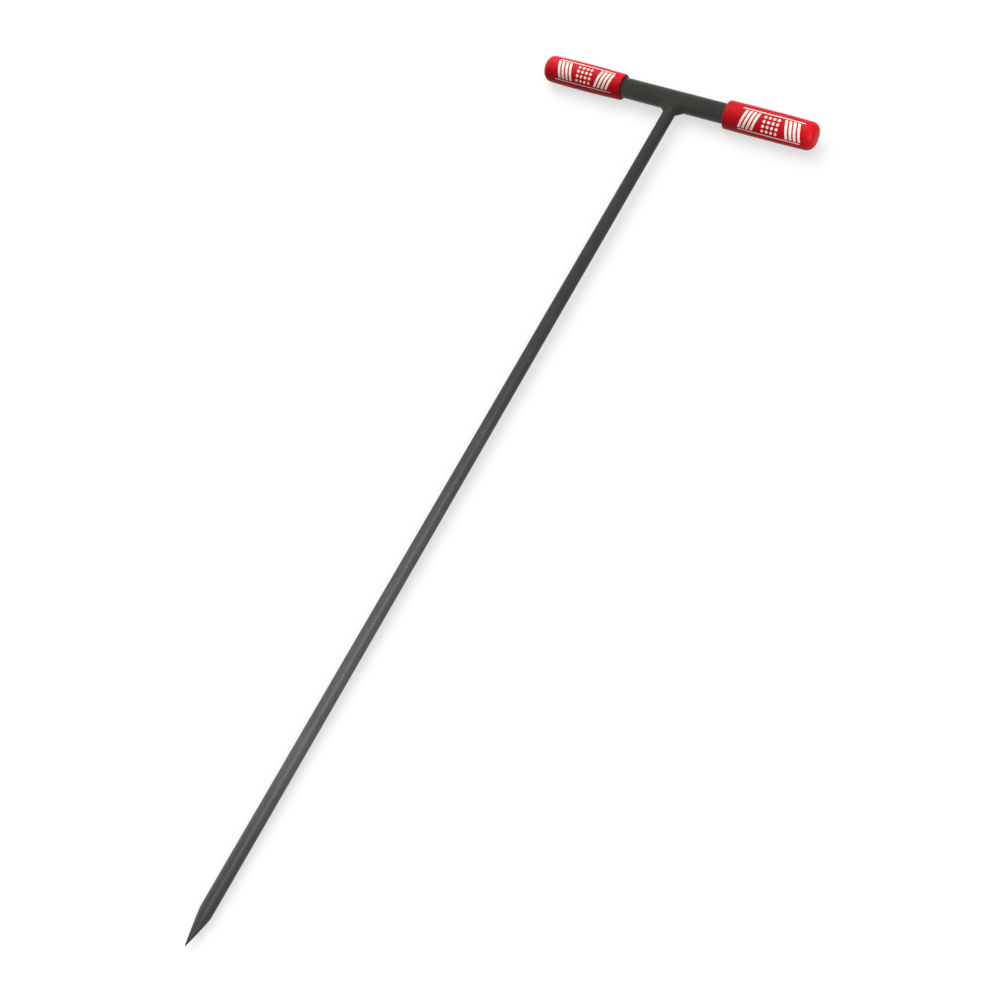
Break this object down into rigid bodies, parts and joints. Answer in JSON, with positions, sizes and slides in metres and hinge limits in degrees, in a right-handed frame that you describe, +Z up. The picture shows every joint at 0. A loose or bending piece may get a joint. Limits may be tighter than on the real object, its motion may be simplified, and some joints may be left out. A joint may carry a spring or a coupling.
{
  "type": "soil probe",
  "caption": "T-handle soil probe: a solid pointed steel rod welded to a tubular crossbar with closed vinyl grips, pushed into the ground by hand to feel what lies below.",
  "frame": {"origin": "on the surface that the probe lies on, under the middle of its bounding box", "axes": "+X along the crossbar, +Y from the ground point towards the crossbar, +Z up with the probe lying down"},
  "size_m": [0.2976, 0.9184, 0.028],
  "materials": {
    "coated_steel": "satin",
    "red_vinyl": "satin"
  },
  "bodies": {
    "root": {"crossbar_tube": "coated_steel", "probe_rod": "coated_steel", "weld_bead": "coated_steel", "left_grip": "red_vinyl", "right_grip": "red_vinyl"}
  },
  "joints": []
}
